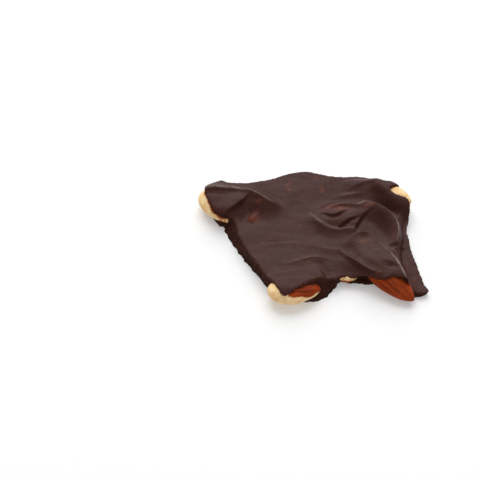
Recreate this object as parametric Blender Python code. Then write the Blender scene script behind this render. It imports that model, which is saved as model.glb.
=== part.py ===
"""Dark chocolate almond bark: one broken piece, about 91 mm wide and 74 mm deep.

A flat-bottomed slab of dark chocolate, poured over whole roasted almonds and snapped by hand. Its top
is drawn into lobes and sharp folds over the nuts, its sides are rough fractures, and four almonds and a
chip of a fifth show where it broke. Every nut sits in its own pocket in the chocolate.

Tables are in millimetres, in the piece's own frame: X to the right, Y to the back, Z up from the base.
"""

import math
from collections import namedtuple

import bmesh
import bpy
import numpy as np
from mathutils import Euler, Matrix, Vector, noise

MM = 0.001

PLATE_THICKNESS = 6.0
# Slow waves of the poured top: (height, then the millimetres to one radian along X and along Y).
LONG_WAVE = (0.22, 7.0, 5.5)
SHORT_WAVE = (0.12, 9.0, 2.7)
MOUND_FALL = 1.1
NUT_CLEARANCE = 0.3
# How round a nut's blunt end and its point are, seen from above and from the side, and its thin edge.
NUT_OUTLINE = (0.5, 0.68)
NUT_PROFILE = (0.45, 0.58)
NUT_EDGE_THINNING = 0.18
GRID_STEP = 1.25
SLICE_MERGE = 0.19
OUTLINE_STEP = 1.6
CURVE_SAMPLE = 0.5
LINE_BLEND = 4.0
TRIANGLES_KEPT = 0.6
SHARP_ANGLE = 50.0
# The levels of a wall's rings as shares of its height, and how its foot flares out towards the base.
WALL_SHARES = (0.78, 0.5, 0.22, 0.0)
FOOT_FLARE = 1.3
# The rough break: how far it strays, over how many millimetres, and how much finer it is up the wall.
EDGE_JAG = 0.3
EDGE_JAG_GRAIN = 1.1
FRACTURE_DEPTH = 0.6
FRACTURE_GRAIN = 2.6
FRACTURE_STACK = 1.6
NOISE_SEED = 11
# Moves the tables' origin to the middle of the finished piece's box.
FRAME_SHIFT = (1.65, 2.9)

Edge = namedtuple("Edge", "x y foot_x foot_y")
Mound = namedtuple("Mound", "x y half_length half_width heading rise steep")
Crest = namedtuple("Crest", "points left right sharp")
Almond = namedtuple("Almond", "x y z heading pitch roll length width thickness")

# The top edge's corners, clockwise seen from above from the left tip, each with how far out its foot is.
OUTLINE = (
    Edge(-44.3, 20.7, -0.5, 0.0),
    Edge(-42.0, 25.0, -0.4, 0.6),
    Edge(-38.2, 28.0, 0.0, 0.8),
    Edge(-33.6, 26.3, 0.2, 0.9),
    Edge(-25.6, 26.1, 0.0, 0.9),
    Edge(-17.2, 28.4, -0.3, 0.8),
    Edge(-10.4, 31.5, -0.3, 0.7),
    Edge(-2.0, 33.0, 0.0, 0.6),
    Edge(7.6, 30.5, 0.2, 0.7),
    Edge(14.8, 29.6, 0.0, 0.8),
    Edge(21.1, 29.2, 0.0, 0.8),
    Edge(28.3, 25.4, 0.3, 0.8),
    Edge(31.0, 24.5, 0.6, 0.8),
    Edge(33.4, 26.1, 0.8, 0.2),
    Edge(35.2, 25.7, 0.8, 0.2),
    Edge(36.2, 23.0, 0.6, 0.4),
    Edge(32.6, 20.4, 4.2, 2.2),
    Edge(33.0, 18.2, 4.8, 2.4),
    Edge(34.9, 16.3, 4.6, 2.2),
    Edge(38.0, 15.2, 2.2, 1.2),
    Edge(39.7, 13.4, 0.6, 0.6),
    Edge(39.9, 11.0, 0.0, 0.4),
    Edge(39.2, 7.2, -0.4, 0.0),
    Edge(38.1, 1.4, -0.4, 0.0),
    Edge(38.6, -2.8, -0.4, 0.0),
    Edge(38.8, -7.4, -0.4, 0.0),
    Edge(39.8, -14.0, -0.4, -0.1),
    Edge(41.4, -22.3, -0.3, 0.0),
    Edge(42.4, -27.4, -0.3, 0.0),
    Edge(43.9, -31.3, -0.6, 1.0),
    Edge(42.0, -32.5, -0.2, 0.4),
    Edge(37.8, -32.4, 0.0, -0.2),
    Edge(35.4, -30.9, 0.0, 0.6),
    Edge(32.8, -29.6, 0.0, 1.4),
    Edge(29.6, -29.2, 0.0, 1.6),
    Edge(26.4, -30.2, 0.0, 3.4),
    Edge(23.2, -29.0, 0.0, 3.2),
    Edge(19.4, -26.9, 0.0, 1.2),
    Edge(14.1, -26.1, 0.2, 0.8),
    Edge(9.8, -25.8, 0.4, 1.6),
    Edge(7.6, -27.4, -0.2, -0.2),
    Edge(4.2, -27.8, 0.4, -4.0),
    Edge(0.5, -29.1, 0.7, -5.2),
    Edge(-2.7, -31.4, 0.2, -3.8),
    Edge(-5.5, -33.6, 0.0, -1.4),
    Edge(-7.9, -35.2, 0.4, 1.4),
    Edge(-10.6, -37.3, 0.6, 3.2),
    Edge(-12.9, -38.1, 0.4, 4.2),
    Edge(-15.0, -35.6, 0.0, 3.8),
    Edge(-16.4, -32.4, -0.2, 2.6),
    Edge(-18.4, -28.9, -0.8, 1.6),
    Edge(-22.7, -20.6, -0.8, 0.8),
    Edge(-27.4, -11.4, -1.8, 0.8),
    Edge(-30.6, -3.4, -2.8, 1.0),
    Edge(-31.4, 2.4, -4.4, 1.4),
    Edge(-33.4, 5.4, -3.0, 0.6),
    Edge(-37.2, 6.8, -1.0, 0.4),
    Edge(-40.6, 9.3, 0.6, 0.8),
    Edge(-42.6, 13.6, 0.8, 0.4),
    Edge(-44.0, 17.6, 0.4, 0.0),
)

ALMONDS = {
    "almond_left": Almond(-38.8, 14.2, 4.2, -51.0, -3.0, 0.0, 21.2, 12.2, 7.2),
    "almond_front_left": Almond(-8.8, -32.8, 4.2, 7.0, -2.0, 0.0, 21.0, 13.4, 7.2),
    "almond_front_right": Almond(28.8, -27.6, 4.6, -46.0, -9.0, 8.0, 25.6, 11.4, 7.2),
    "almond_back_right": Almond(33.6, 20.4, 5.6, -38.0, 4.2, 0.0, 18.7, 10.0, 6.8),
    "almond_chip": Almond(12.6, -25.0, 3.1, -4.0, 0.0, 18.0, 7.0, 3.4, 2.4),
}

# Broad changes of level: the chocolate over each nut, and the swells and dips between them.
MOUNDS = (
    Mound(-38.0, 15.0, 11.8, 8.2, -50.0, 3.4, 4.0),
    Mound(-35.8, 14.4, 6.5, 3.8, -38.0, 0.7, 2.4),
    Mound(-8.8, -32.8, 14.0, 8.0, 2.0, 2.6, 2.8),
    Mound(27.0, -26.6, 14.5, 8.2, -50.0, 3.3, 2.6),
    Mound(20.0, -15.0, 12.0, 7.6, -50.0, 1.3, 2.6),
    Mound(34.0, 19.2, 11.5, 5.8, -47.0, 3.4, 4.0),
    Mound(23.5, 23.8, 9.0, 5.6, -25.0, 2.0, 2.6),
    Mound(12.5, 5.0, 11.5, 7.6, -12.0, 2.6, 2.6),
    Mound(-24.7, 6.2, 2.3, 1.6, 58.0, 1.4, 2.4),
    Mound(25.4, 0.0, 8.4, 5.0, -65.0, -1.7, 2.6),
    Mound(14.3, -14.0, 5.0, 3.2, -60.0, -0.9, 2.6),
    Mound(28.3, -23.6, 3.2, 1.4, -30.0, -0.7, 2.6),
    Mound(14.0, -27.0, 9.5, 6.0, -4.0, -1.7, 2.6),
    Mound(41.0, -33.0, 13.0, 6.0, -75.0, -0.9, 2.0),
    Mound(-2.0, 30.0, 26.0, 13.0, 0.0, 1.1, 2.2),
    Mound(-26.0, 24.0, 12.0, 7.0, -10.0, 0.9, 2.6),
    Mound(-28.6, 7.4, 7.0, 4.4, -38.0, -1.2, 2.2),
    Mound(-20.0, -12.0, 12.0, 8.0, -60.0, -0.3, 2.6),
    Mound(2.0, -4.0, 10.0, 6.0, -20.0, -0.4, 2.6),
)

# Folds: a line of (x, y, rise), then the flank widths left and right of its direction, then how sharp it is.
CRESTS = (
    Crest(((-47.0, 20.8, 1.2), (-44.3, 20.7, 1.5), (-39.8, 19.9, 1.7), (-34.4, 19.3, 1.8), (-29.8, 20.1, 1.4),
           (-24.0, 19.4, 0.0)), 7.0, 3.4, 0.9),
    Crest(((-36.0, 19.0, 0.0), (-30.8, 19.2, 1.8), (-25.4, 18.0, 3.5), (-21.0, 15.0, 3.9), (-17.0, 12.6, 2.9),
           (-11.6, 10.6, 0.0)), 5.0, 8.6, 0.45),
    Crest(((-37.0, 5.6, 0.6), (-33.9, 7.8, 1.8), (-29.8, 12.2, 1.8), (-26.4, 16.8, 0.4),
           (-25.2, 18.2, 0.0)), 6.5, 0.8, 0.7),
    Crest(((-23.5, -10.8, 0.0), (-15.8, -8.9, 0.35), (-5.8, -8.9, 0.35), (4.1, -11.7, 0.4),
           (13.0, -13.0, 0.0)), 2.0, 3.5, 0.6),
    Crest(((-13.5, -19.8, 0.0), (-8.1, -18.4, 0.5), (-4.1, -16.7, 0.55), (1.9, -16.1, 0.45),
           (8.4, -18.4, 0.0)), 1.6, 4.0, 0.8),
    Crest(((0.6, -18.4, 0.0), (3.6, -23.5, -0.9), (5.0, -30.6, -1.1)), 2.6, 2.6, 0.3),
    Crest(((2.6, 9.8, 0.0), (9.1, 11.6, 1.3), (13.2, 12.0, 1.6), (17.5, 12.0, 1.2), (21.5, 12.8, 0.0)),
          4.0, 2.6, 0.6),
    Crest(((15.0, 12.4, 0.0), (18.5, 13.2, 0.5), (21.9, 13.9, 1.6), (25.6, 11.8, 2.5), (29.3, 9.0, 3.0),
           (32.6, 5.0, 3.0), (34.0, 0.6, 2.8), (34.0, -4.8, 2.2), (32.4, -11.1, 0.8), (31.0, -14.4, 0.0)),
          2.0, 8.0, 0.3),
    Crest(((16.4, -4.0, 0.0), (18.3, 1.0, -1.5), (21.1, 6.8, -1.6), (24.2, 9.4, 0.0)), 0.9, 6.5, 0.6),
    Crest(((10.2, -0.8, 0.0), (11.9, 0.4, -1.2), (15.1, 2.9, -1.1), (19.0, 5.2, 0.0)), 0.8, 2.2, 0.6),
    Crest(((4.4, 6.6, 0.0), (6.5, 5.4, -1.0), (9.0, 5.2, -1.4), (11.4, 6.5, -1.0), (14.6, 8.6, 0.0)),
          0.7, 2.4, 0.6),
    Crest(((-1.0, 7.2, 0.0), (1.9, 3.1, 0.8), (5.0, -0.1, 0.9), (8.9, -1.8, 0.9), (14.6, -1.8, 0.8),
           (19.0, -1.8, 0.0)), 1.8, 5.0, 0.7),
    Crest(((23.6, 16.4, 0.0), (26.5, 14.5, -0.6), (29.4, 12.7, -1.1), (32.7, 10.6, -1.3), (35.5, 9.4, -1.0),
           (40.0, 8.6, -0.6)), 3.2, 1.6, 0.4),
    Crest(((12.6, -9.6, 0.0), (17.5, -4.8, 1.4), (22.0, -4.1, 2.0), (24.9, -8.1, 1.8), (27.5, -12.6, 1.8),
           (30.1, -17.4, 1.9), (31.9, -22.2, 2.0), (33.6, -26.8, 1.8), (35.9, -33.0, 1.0)), 1.8, 5.5, 0.9),
    Crest(((29.4, -11.8, 0.0), (31.8, -16.0, 0.6), (34.2, -21.5, 0.0)), 0.9, 0.9, 0.9),
    Crest(((9.6, -12.4, 0.0), (11.9, -15.6, 0.9), (14.5, -18.7, 1.2), (17.5, -22.2, 1.3), (21.0, -25.6, 1.0),
           (25.5, -28.2, 0.0)), 2.6, 1.8, 0.8),
    Crest(((30.6, -10.8, 0.0), (33.0, -10.2, -0.9), (36.4, -9.2, -0.3), (41.0, -8.2, 0.0)), 1.4, 1.2, 0.4),
    Crest(((8.0, 17.6, 0.0), (15.8, 19.2, 0.5), (23.0, 19.6, 0.0)), 2.0, 2.4, 0.7),
    Crest(((15.4, 22.5, 0.0), (22.4, 24.8, 0.6), (29.0, 25.0, 0.0)), 2.4, 2.0, 0.7),
)

# Where a nut fell out of the front break, and the hollow it left.
LOST_NUT = Almond(20.4, -27.0, 2.9, 4.0, 0.0, 0.0, 8.4, 6.4, 3.6)

# The nuts that have lost their skin where they show.
PEELED = ("almond_left", "almond_back_right", "almond_chip")

# The thin flange along the right: right of this line the plate is lower.
FLANGE_LINE = ((46.0, 11.0), (40.0, 9.8), (37.2, 8.4), (35.9, 4.0), (35.5, -4.0), (34.2, -11.0),
               (34.0, -18.0), (34.8, -25.0), (36.2, -33.0))
FLANGE_DROP = 3.1
FLANGE_WIDTH = 1.1

DARK_CHOCOLATE = ((0.060, 0.022, 0.015, 1.0), 0.42)
ALMOND_SKIN = ((0.27, 0.065, 0.022, 1.0), 0.55)
ALMOND_FLESH = ((0.72, 0.50, 0.26, 1.0), 0.6)


def spline(points, step, closed):
    """Points at about one step along a smooth curve through the rows of points, in any number of columns."""
    rows = np.asarray(points, float)
    count = len(rows)
    if closed:
        rows = np.vstack([rows[-1], rows, rows[0], rows[1]])
        spans = count
    else:
        rows = np.vstack([2 * rows[0] - rows[1], rows, 2 * rows[-1] - rows[-2]])
        spans = count - 1
    out = []
    for k in range(spans):
        before, start, end, after = rows[k:k + 4]
        pieces = max(1, round(float(np.linalg.norm((end - start)[:2])) / step))
        for t in np.arange(pieces) / pieces:
            out.append(0.5 * (2 * start + (end - before) * t
                              + (2 * before - 5 * start + 4 * end - after) * t * t
                              + (3 * start - before - 3 * end + after) * t ** 3))
    if not closed:
        out.append(rows[-2])
    return np.array(out)


def nearest_on(line, x, y):
    """Each place's distance from a line, its side (+1 is left), and the line's third column near it."""
    gap_x = x[:, None] - line[None, :, 0]
    gap_y = y[:, None] - line[None, :, 1]
    square = gap_x ** 2 + gap_y ** 2
    row = np.argmin(square, axis=1)
    weight = np.exp((square.min(axis=1, keepdims=True) - square) / LINE_BLEND)
    value = weight @ line[:, -1] / weight.sum(axis=1)
    heading = np.gradient(line[:, :2], axis=0)[row]
    heading /= np.linalg.norm(heading, axis=1, keepdims=True)
    pick = np.arange(len(x))
    across = heading[:, 0] * gap_y[pick, row] - heading[:, 1] * gap_x[pick, row]
    ends = (row == 0) | (row == len(line) - 1)
    distance = np.where(ends, np.sqrt(square[pick, row]), np.abs(across))
    return distance, np.where(across >= 0, 1.0, -1.0), value


def mound_rise(mound, x, y):
    """A rounded form, with the profile of a nut under a coat of chocolate."""
    turn = math.radians(mound.heading)
    along = (x - mound.x) * math.cos(turn) + (y - mound.y) * math.sin(turn)
    across = (y - mound.y) * math.cos(turn) - (x - mound.x) * math.sin(turn)
    reach = np.hypot(along / mound.half_length, across / mound.half_width)
    return mound.rise * np.exp(-MOUND_FALL * reach ** mound.steep)


def crest_rise(crest, x, y):
    """A fold along a line, with a flank of its own width each side."""
    line = spline(crest.points, CURVE_SAMPLE, closed=False)
    distance, side, rise = nearest_on(line, x, y)
    out = np.clip(distance / np.where(side > 0, crest.left, crest.right), 0, 1)
    profile = crest.sharp * (1 - out) ** 2 + (1 - crest.sharp) * (1 - out ** 2) ** 2
    return rise * profile


def flange_drop(x, y):
    """How far the plate drops across the flange's line."""
    line = spline(FLANGE_LINE, CURVE_SAMPLE, closed=False)
    distance, side, _ = nearest_on(line, x, y)
    share = np.clip(0.5 + 0.5 * side * distance / FLANGE_WIDTH, 0, 1)
    return FLANGE_DROP * share ** 2 * (3 - 2 * share)


def top_height(x, y):
    """The height of the poured top over each place, in millimetres."""
    rise, along, across = LONG_WAVE
    height = PLATE_THICKNESS + rise * np.sin(x / along + 0.6) * np.cos(y / across) - flange_drop(x, y)
    rise, along, across = SHORT_WAVE
    height = height + rise * np.sin(y / across - x / along)
    for mound in MOUNDS:
        height = height + mound_rise(mound, x, y)
    for crest in CRESTS:
        height = height + crest_rise(crest, x, y)
    return height


def jagged_outline():
    """The top edge and its foot as rows of (x, y, foot_x, foot_y), with the small steps of a hand break."""
    rows = spline(OUTLINE, OUTLINE_STEP, closed=True)
    for row in rows:
        jag = noise.noise_vector(Vector((row[0] / EDGE_JAG_GRAIN, row[1] / EDGE_JAG_GRAIN, 3.0)))
        row[0] += jag.x * EDGE_JAG
        row[1] += jag.y * EDGE_JAG
    return rows


def sliced_top(bm, outline):
    """The top as one face inside the outline, sliced into a grid so that it can be raised."""
    bm.faces.new([bm.verts.new((row[0], row[1], 0.0)) for row in outline])
    for axis in range(2):
        low, high = outline[:, axis].min(), outline[:, axis].max()
        cuts = int((high - low) / GRID_STEP)
        for k in range(1, cuts + 1):
            place, normal = Vector((0, 0, 0)), Vector((0, 0, 0))
            place[axis] = low + k * GRID_STEP
            normal[axis] = 1.0
            bmesh.ops.bisect_plane(bm, geom=bm.verts[:] + bm.edges[:] + bm.faces[:], dist=SLICE_MERGE,
                                   plane_co=place, plane_no=normal)


def raise_top(bm):
    """Lifts every vertex of the flat top to the poured surface."""
    places = np.array([v.co[:2] for v in bm.verts])
    for vert, height in zip(bm.verts, top_height(places[:, 0], places[:, 1])):
        vert.co.z = height


def hang_walls(bm, outline):
    """Extrudes the top's rim down to the base in a few levels, each a little out of line as a fracture is."""
    top = bm.verts.layers.float_vector.new("top")
    foot = bm.verts.layers.float_vector.new("foot")
    rim = [e for e in bm.edges if e.is_boundary]
    rim_verts = {v for e in rim for v in e.verts}
    loop = np.vstack([outline, outline[:1]])
    dense = np.vstack([np.linspace(a, b, 5)[:-1] for a, b in zip(loop[:-1], loop[1:])])
    for vert in rim_verts:
        row = dense[np.argmin((dense[:, 0] - vert.co.x) ** 2 + (dense[:, 1] - vert.co.y) ** 2)]
        vert[top] = vert.co
        vert[foot] = Vector((row[2], row[3], 0.0))
    for share in WALL_SHARES:
        made = bmesh.ops.extrude_edge_only(bm, edges=rim)["geom"]
        rim = [g for g in made if isinstance(g, bmesh.types.BMEdge) and g.is_boundary]
        for vert in {v for e in rim for v in e.verts}:
            start = vert[top]
            vert.co = start + vert[foot] * (1 - share) ** FOOT_FLARE
            vert.co.z = start.z * share
            where = Vector((start.x, start.y, vert.co.z * FRACTURE_STACK))
            rough = noise.noise_vector(where / FRACTURE_GRAIN)
            vert.co.x += rough.x * FRACTURE_DEPTH
            vert.co.y += rough.y * FRACTURE_DEPTH
    bmesh.ops.contextual_create(bm, geom=rim)


def to_metres(bm):
    """Moves a mesh from the tables' millimetres to the piece's frame in metres."""
    shift = Matrix.Translation((FRAME_SHIFT[0] * MM, FRAME_SHIFT[1] * MM, 0))
    bm.transform(shift @ Matrix.Scale(MM, 4))


def bulge(share, blunt, point):
    """A nut's half width along its length, 1 at its widest: the lower each power, the rounder that end."""
    widest = blunt / (blunt + point)
    return (share / widest) ** blunt * ((1 - share) / (1 - widest)) ** point


def almond_bmesh(almond, grow=0.0, around=22, along=15):
    """A whole almond along X, blunt end at -X and point at +X, its middle at the origin."""
    bm = bmesh.new()
    bmesh.ops.create_uvsphere(bm, u_segments=around, v_segments=along, radius=1.0)
    half_length = almond.length / 2 + grow
    for vert in bm.verts:
        share = (1 + vert.co.z) / 2
        radius = math.hypot(vert.co.x, vert.co.y)
        across, up = (vert.co.x / radius, vert.co.y / radius) if radius > 1e-6 else (0.0, 0.0)
        vert.co.x = vert.co.z * half_length
        vert.co.y = across * bulge(share, *NUT_OUTLINE) * (almond.width / 2 + grow)
        thinned = 1 - NUT_EDGE_THINNING * abs(across) ** 3
        vert.co.z = up * bulge(share, *NUT_PROFILE) * (almond.thickness / 2 + grow) * thinned
    return bm


def place(obj, almond):
    """Moves and turns a nut's form to where it lies in the slab."""
    obj.location = ((almond.x + FRAME_SHIFT[0]) * MM, (almond.y + FRAME_SHIFT[1]) * MM, almond.z * MM)
    obj.rotation_euler = Euler([math.radians(a) for a in (almond.roll, -almond.pitch, almond.heading)], "XYZ")


def add_object(name, bm, material=None):
    """A shaded object made from a bmesh."""
    mesh = bpy.data.meshes.new(name)
    bm.to_mesh(mesh)
    bm.free()
    mesh.shade_smooth()
    mesh.set_sharp_from_angle(angle=math.radians(SHARP_ANGLE))
    if material:
        mesh.materials.append(material)
    obj = bpy.data.objects.new(name, mesh)
    bpy.context.scene.collection.objects.link(obj)
    return obj


def add_almond(name, almond, material):
    """A nut where it is in the slab."""
    bm = almond_bmesh(almond)
    bm.transform(Matrix.Scale(MM, 4))
    place(add_object(name, bm, material), almond)


def add_cutter(name, almond, grow):
    """A hidden solid that a Boolean takes away."""
    bm = almond_bmesh(almond, grow)
    bm.transform(Matrix.Scale(MM, 4))
    cutter = add_object(name, bm)
    place(cutter, almond)
    cutter.hide_render = True
    cutter.display_type = "WIRE"
    return cutter


def add_slab(material, cutters):
    """The chocolate, with a pocket for each nut."""
    outline = jagged_outline()
    bm = bmesh.new()
    sliced_top(bm, outline)
    raise_top(bm)
    hang_walls(bm, outline)
    bmesh.ops.triangulate(bm, faces=bm.faces[:])
    bm.normal_update()
    bmesh.ops.recalc_face_normals(bm, faces=bm.faces[:])
    to_metres(bm)
    slab = add_object("chocolate", bm, material)
    thin = slab.modifiers.new("fewer_triangles", "DECIMATE")
    thin.ratio = TRIANGLES_KEPT
    for cutter in cutters:
        pocket = slab.modifiers.new(cutter.name, "BOOLEAN")
        pocket.operation = "DIFFERENCE"
        pocket.solver = "EXACT"
        pocket.object = cutter
    return slab


def finish(name, look):
    """A material of one colour and roughness."""
    colour, roughness = look
    material = bpy.data.materials.new(name)
    material.use_nodes = True
    shader = material.node_tree.nodes["Principled BSDF"]
    shader.inputs["Base Color"].default_value = colour
    shader.inputs["Roughness"].default_value = roughness
    shader.inputs["Metallic"].default_value = 0.0
    return material


def main():
    for obj in list(bpy.data.objects):
        bpy.data.objects.remove(obj)
    noise.seed_set(NOISE_SEED)
    skin = finish("almond_skin", ALMOND_SKIN)
    flesh = finish("almond_flesh", ALMOND_FLESH)
    cutters = []
    for name, almond in ALMONDS.items():
        add_almond(name, almond, flesh if name in PEELED else skin)
        cutters.append(add_cutter(name + "_pocket", almond, NUT_CLEARANCE))
    cutters.append(add_cutter("lost_nut_hollow", LOST_NUT, 0.0))
    add_slab(finish("dark_chocolate", DARK_CHOCOLATE), cutters)


main()
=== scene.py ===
"""Dresses one broken piece of dark chocolate almond bark and sets it in a plain white studio.

The slab's poured top, its folds, its snapped sides and its nuts are made again here at the size of the
marks that show, with the same outline, folds and nuts as the solids. Tables are in millimetres, in the
piece's own frame: X to the right, Y to the back, Z up from the base.
"""

import math
from collections import namedtuple

import bmesh
import bpy
import numpy as np
from mathutils import Euler, Matrix, Vector, noise


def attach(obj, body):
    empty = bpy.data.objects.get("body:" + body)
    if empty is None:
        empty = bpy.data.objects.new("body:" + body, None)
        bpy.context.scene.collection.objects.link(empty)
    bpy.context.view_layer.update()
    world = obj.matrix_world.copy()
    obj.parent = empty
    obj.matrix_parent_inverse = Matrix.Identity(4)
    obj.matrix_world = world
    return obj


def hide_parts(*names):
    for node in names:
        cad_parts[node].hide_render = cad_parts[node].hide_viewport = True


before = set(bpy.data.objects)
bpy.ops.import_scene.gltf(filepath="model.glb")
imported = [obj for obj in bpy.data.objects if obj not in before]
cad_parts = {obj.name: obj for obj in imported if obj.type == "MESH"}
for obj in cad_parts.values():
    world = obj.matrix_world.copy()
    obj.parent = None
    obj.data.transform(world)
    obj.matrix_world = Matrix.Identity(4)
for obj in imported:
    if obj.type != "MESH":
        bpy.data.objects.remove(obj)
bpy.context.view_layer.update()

MM = 0.001
NOISE_SEED = 11
# Moves the tables' origin to the middle of the finished piece's box.
FRAME_SHIFT = (1.65, 2.9)

PLATE_THICKNESS = 6.0
# Slow waves of the poured top: (height, then the millimetres to one radian along X and along Y).
LONG_WAVE = (0.22, 7.0, 5.5)
SHORT_WAVE = (0.12, 9.0, 2.7)
# Finer ripples: (height, millimetres to one ripple along X and along Y, which slice of the noise).
RIPPLES = ((0.16, 5.0, 3.4, 2.0), (0.035, 1.7, 1.2, 7.0))
# How fast a mound falls away at its edge.
MOUND_FALL = 1.1
CURVE_SAMPLE = 0.5
LINE_BLEND = 4.0
TOP_STEP = 0.34
OUTLINE_STEP = 0.12
# How high a fine crest is where it counts as a full ridge.
FULL_RIDGE = 0.4

# The snapped edge strays this far, in steps and in finer chips, each so many to the millimetre.
EDGE_JAG = 0.3
JAG_PITCH = 0.9
CHIP_PITCH = 2.6
CHIP_SHARE = 0.35
# The arris between top and side is rounded off this deep from this far in, and from this far in it is paler,
# with wear and a painted highlight.
ARRIS_DROP = 0.25
ARRIS_ROUND = 0.6
ARRIS_WEAR_AND_HIGHLIGHT = 0.45
# How much of that paler tone, wear and painted highlight, the top of the side gets.
WEAR_AND_HIGHLIGHT_UNDER_ARRIS = 0.6
# The side: its levels, how its foot flares out, and how fast its roughness sets in below the arris.
WALL_RINGS = 15
FOOT_FLARE = 1.3
ROUGH_START = 2.5
# The roughness of the side: the large steps of the break, then its facets, then its grit.
FRACTURE_DEPTH = 0.44
FRACTURE_GRAIN = 2.6
FRACTURE_STACK = 1.6
FACET_DEPTH = 0.26
FACET_SIZE = 1.5
FACET_SCATTER = 3.1
GRIT_DEPTH = 0.15
GRIT_SIZE = 0.55

# How round a nut's blunt end and its point are, seen from above and from the side, and its thin edge.
NUT_OUTLINE = (0.5, 0.68)
NUT_PROFILE = (0.45, 0.58)
NUT_EDGE_THINNING = 0.18
# A nut's skin, as shares of its size: slow swells, and furrows along it that fade towards its ends.
SKIN_SWELL = 0.05
FURROW_DEPTH = 0.045
FURROW_FADE = 1.4
FURROWS_AROUND = 2.4
FURROWS_ALONG = 0.7
SWELLS_ALONG = 1.3
# The furrows' noise: (scale, share), coarse and then fine.
FURROW_LAYERS = ((1.6, 1.0), (3.7, 0.5))
# A chip of nut, as shares of its size: how much fuller than a nut it is, how deep its flats cut, its grit.
CHIP_SWELL = 0.5
CHIP_FLATS = 0.8
CHIP_GRIT = 0.25
SHORTEST_WHOLE_NUT = 15.0

# The skin of the front-left nut ends at a line that is level as the camera sees it, a drop below this place
# on its front. The line slopes up to the right of its turn, and the skin also ends near the nut's left end.
SKIN_LINE_Y = -33.4
SKIN_LINE_Z = 4.3
SKIN_LINE_DROP = 2.0
SKIN_LINE_TURN = -2.5
SKIN_LINE_SLOPE = 0.6
SKIN_LEFT_END = -11.2
COSINE_OF_TILT = 0.7071
# The chip is bare above this height.
CHIP_BARE_HEIGHT = 2.7
# The bare mark where the skin just ends, and how much it rises in a millimetre from there.
BARE_AT_EDGE = 0.35
BARE_RISE = 1.1
# How the skin's edge frays: (marks to the millimetre, how far).
FRAY_LAYERS = ((0.5, 0.8), (1.4, 0.4))
SKINNED_NUTS = ("almond_front_left", "almond_front_right")

Edge = namedtuple("Edge", "x y foot_x foot_y")
Mound = namedtuple("Mound", "x y half_length half_width heading rise steep")
Crest = namedtuple("Crest", "points left right sharp")
Almond = namedtuple("Almond", "x y z heading pitch roll length width thickness")

# The top edge's corners, clockwise seen from above from the left tip, each with how far out its foot is.
OUTLINE = (
    Edge(-44.3, 20.7, -0.5, 0.0),
    Edge(-42.0, 25.0, -0.4, 0.6),
    Edge(-38.2, 28.0, 0.0, 0.8),
    Edge(-33.6, 26.3, 0.2, 0.9),
    Edge(-25.6, 26.1, 0.0, 0.9),
    Edge(-17.2, 28.4, -0.3, 0.8),
    Edge(-10.4, 31.5, -0.3, 0.7),
    Edge(-2.0, 33.0, 0.0, 0.6),
    Edge(7.6, 30.5, 0.2, 0.7),
    Edge(14.8, 29.6, 0.0, 0.8),
    Edge(21.1, 29.2, 0.0, 0.8),
    Edge(28.3, 25.4, 0.3, 0.8),
    Edge(31.0, 24.5, 0.6, 0.8),
    Edge(33.4, 26.1, 0.8, 0.2),
    Edge(35.2, 25.7, 0.8, 0.2),
    Edge(36.2, 23.0, 0.6, 0.4),
    Edge(32.6, 20.4, 4.2, 2.2),
    Edge(33.0, 18.2, 4.8, 2.4),
    Edge(34.9, 16.3, 4.6, 2.2),
    Edge(38.0, 15.2, 2.2, 1.2),
    Edge(39.7, 13.4, 0.6, 0.6),
    Edge(39.9, 11.0, 0.0, 0.4),
    Edge(39.2, 7.2, -0.4, 0.0),
    Edge(38.1, 1.4, -0.4, 0.0),
    Edge(38.6, -2.8, -0.4, 0.0),
    Edge(38.8, -7.4, -0.4, 0.0),
    Edge(39.8, -14.0, -0.4, -0.1),
    Edge(41.4, -22.3, -0.3, 0.0),
    Edge(42.4, -27.4, -0.3, 0.0),
    Edge(43.9, -31.3, -0.6, 1.0),
    Edge(42.0, -32.5, -0.2, 0.4),
    Edge(37.8, -32.4, 0.0, -0.2),
    Edge(35.4, -30.9, 0.0, 0.6),
    Edge(32.8, -29.6, 0.0, 1.4),
    Edge(29.6, -29.2, 0.0, 1.6),
    Edge(26.4, -30.2, 0.0, 3.4),
    Edge(23.2, -29.0, 0.0, 3.2),
    Edge(19.4, -26.9, 0.0, 1.2),
    Edge(14.1, -26.1, 0.2, 0.8),
    Edge(9.8, -25.8, 0.4, 1.6),
    Edge(7.6, -27.4, -0.2, -0.2),
    Edge(4.2, -27.8, 0.4, -4.0),
    Edge(0.5, -29.1, 0.7, -5.2),
    Edge(-2.7, -31.4, 0.2, -3.8),
    Edge(-5.5, -33.6, 0.0, -1.4),
    Edge(-7.9, -35.2, 0.4, 1.4),
    Edge(-10.6, -37.3, 0.6, 3.2),
    Edge(-12.9, -38.1, 0.4, 4.2),
    Edge(-15.0, -35.6, 0.0, 3.8),
    Edge(-16.4, -32.4, -0.2, 2.6),
    Edge(-18.4, -28.9, -0.8, 1.6),
    Edge(-22.7, -20.6, -0.8, 0.8),
    Edge(-27.4, -11.4, -1.8, 0.8),
    Edge(-30.6, -3.4, -2.8, 1.0),
    Edge(-31.4, 2.4, -4.4, 1.4),
    Edge(-33.4, 5.4, -3.0, 0.6),
    Edge(-37.2, 6.8, -1.0, 0.4),
    Edge(-40.6, 9.3, 0.6, 0.8),
    Edge(-42.6, 13.6, 0.8, 0.4),
    Edge(-44.0, 17.6, 0.4, 0.0),
)

ALMONDS = {
    "almond_left": Almond(-38.8, 14.2, 4.2, -51.0, -3.0, 0.0, 21.2, 12.2, 7.2),
    "almond_front_left": Almond(-8.8, -32.8, 4.2, 7.0, -2.0, 0.0, 21.0, 13.4, 7.2),
    "almond_front_right": Almond(28.8, -27.6, 4.6, -46.0, -9.0, 8.0, 25.6, 11.4, 7.2),
    "almond_back_right": Almond(33.6, 20.4, 5.6, -38.0, 4.2, 0.0, 18.7, 10.0, 6.8),
    "almond_chip": Almond(12.6, -25.0, 3.1, -4.0, 0.0, 18.0, 7.0, 3.4, 2.4),
}

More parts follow.
